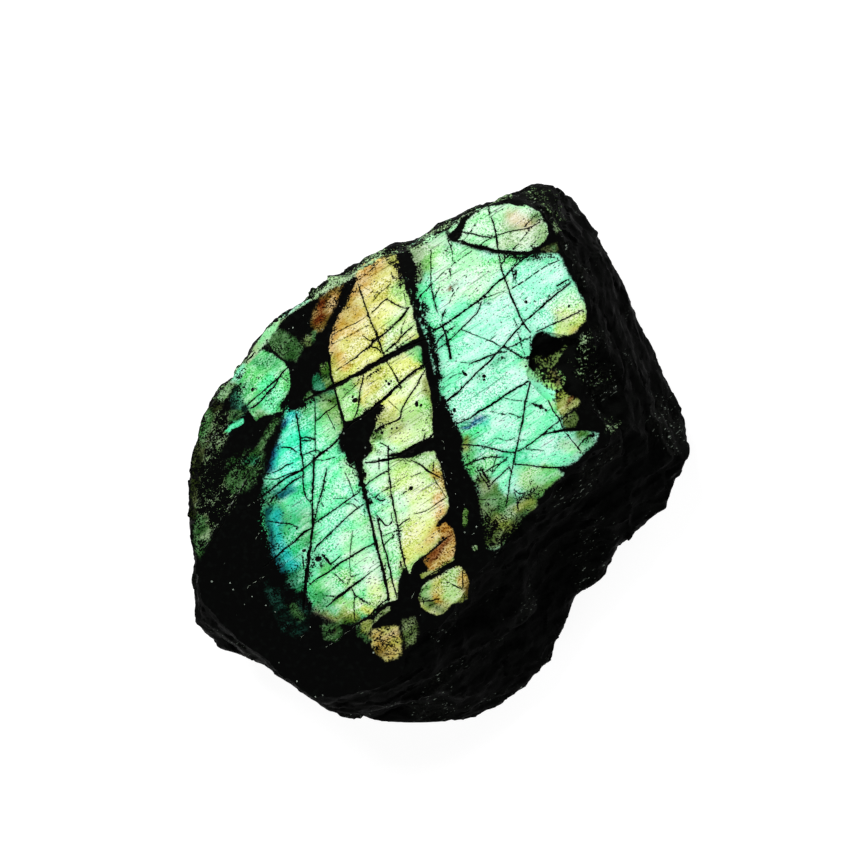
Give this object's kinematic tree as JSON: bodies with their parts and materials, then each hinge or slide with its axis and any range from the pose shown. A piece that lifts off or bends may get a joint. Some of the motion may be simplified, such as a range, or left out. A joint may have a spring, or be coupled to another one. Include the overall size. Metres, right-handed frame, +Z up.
{
  "type": "rough labradorite chunk",
  "caption": "Rough labradorite stone, broken on all sides, with a domed polished face and a ground shoulder bevel on top, and a flat cleavage face to lie on.",
  "frame": {"origin": "under the middle of the stone's box, at the level of the flat cleavage face that it rests on", "axes": "+Z up out of the polished face, +Y along the stone's length towards its narrow corner, +X across it towards the long right wall"},
  "size_m": [0.0726, 0.0784, 0.0315],
  "materials": {
    "labradorite": "dark broken feldspar, matt on the sides, polished on the top face and shoulder bevel with a blue, green and gold schiller"
  },
  "bodies": {
    "root": {"labradorite_chunk": "labradorite"}
  },
  "joints": []
}
